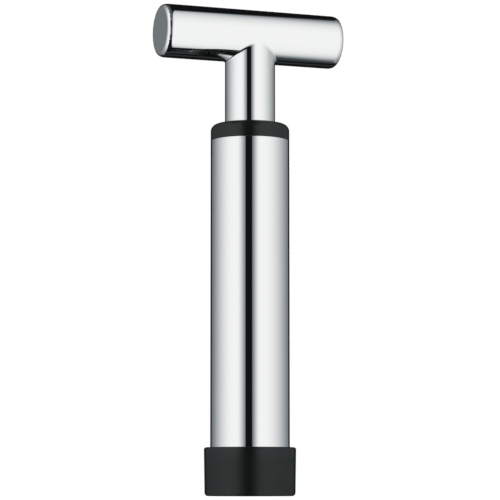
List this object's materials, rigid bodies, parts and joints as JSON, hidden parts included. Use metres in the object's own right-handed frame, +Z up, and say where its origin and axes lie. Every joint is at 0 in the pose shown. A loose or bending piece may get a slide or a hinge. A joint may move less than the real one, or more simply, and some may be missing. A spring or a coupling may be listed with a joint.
{
  "type": "wine vacuum pump",
  "caption": "Upright hand pump for stoppered wine bottles: polished steel barrel in a black foot, black collar, and a T-handled plunger that slides and turns.",
  "frame": {"origin": "middle of the foot's underside, on the barrel's axis", "axes": "+Z up along the barrel and the plunger, X along the crossbar, -Y towards the pictured front"},
  "size_m": [0.0721, 0.035, 0.1866],
  "materials": {
    "polished_steel": "polished",
    "black_plastic": "satin",
    "pale_plastic": "satin",
    "rubber": "matte",
    "zinc_steel": "satin"
  },
  "bodies": {
    "barrel": {"base_foot": "black_plastic", "stopper_gasket": "rubber", "sleeve_cushion": "rubber", "barrel_sleeve": "polished_steel", "cylinder_liner": "pale_plastic", "top_collar": "black_plastic", "bush_retainer": "zinc_steel"},
    "guide": {"guide_bush": "pale_plastic"},
    "plunger": {"piston_clamp": "pale_plastic", "piston_body": "pale_plastic", "bumper_ring": "rubber", "plunger_shaft": "polished_steel", "tie_bolt": "zinc_steel", "tie_washer": "zinc_steel", "bolt_seal": "rubber", "handle_crossbar": "polished_steel", "crossbar_anchor": "zinc_steel", "crossbar_cap_left": "polished_steel", "crossbar_cap_right": "polished_steel"},
    "valve_ring": {"valve_ring": "rubber"}
  },
  "joints": [
    {"name": "handle_turn", "type": "hinge", "parent": "barrel", "child": "guide", "pos_m": [0, 0, 0.13], "axis": [0, 0, 1], "continuous": true},
    {"name": "plunger_slide", "type": "slide", "parent": "guide", "child": "plunger", "axis": [0, 0, 1], "range_m": [0, 0.0877]},
    {"name": "valve_ring_float", "type": "slide", "parent": "plunger", "child": "valve_ring", "axis": [0, 0, 1], "range_m": [0, 0.0012]}
  ]
}
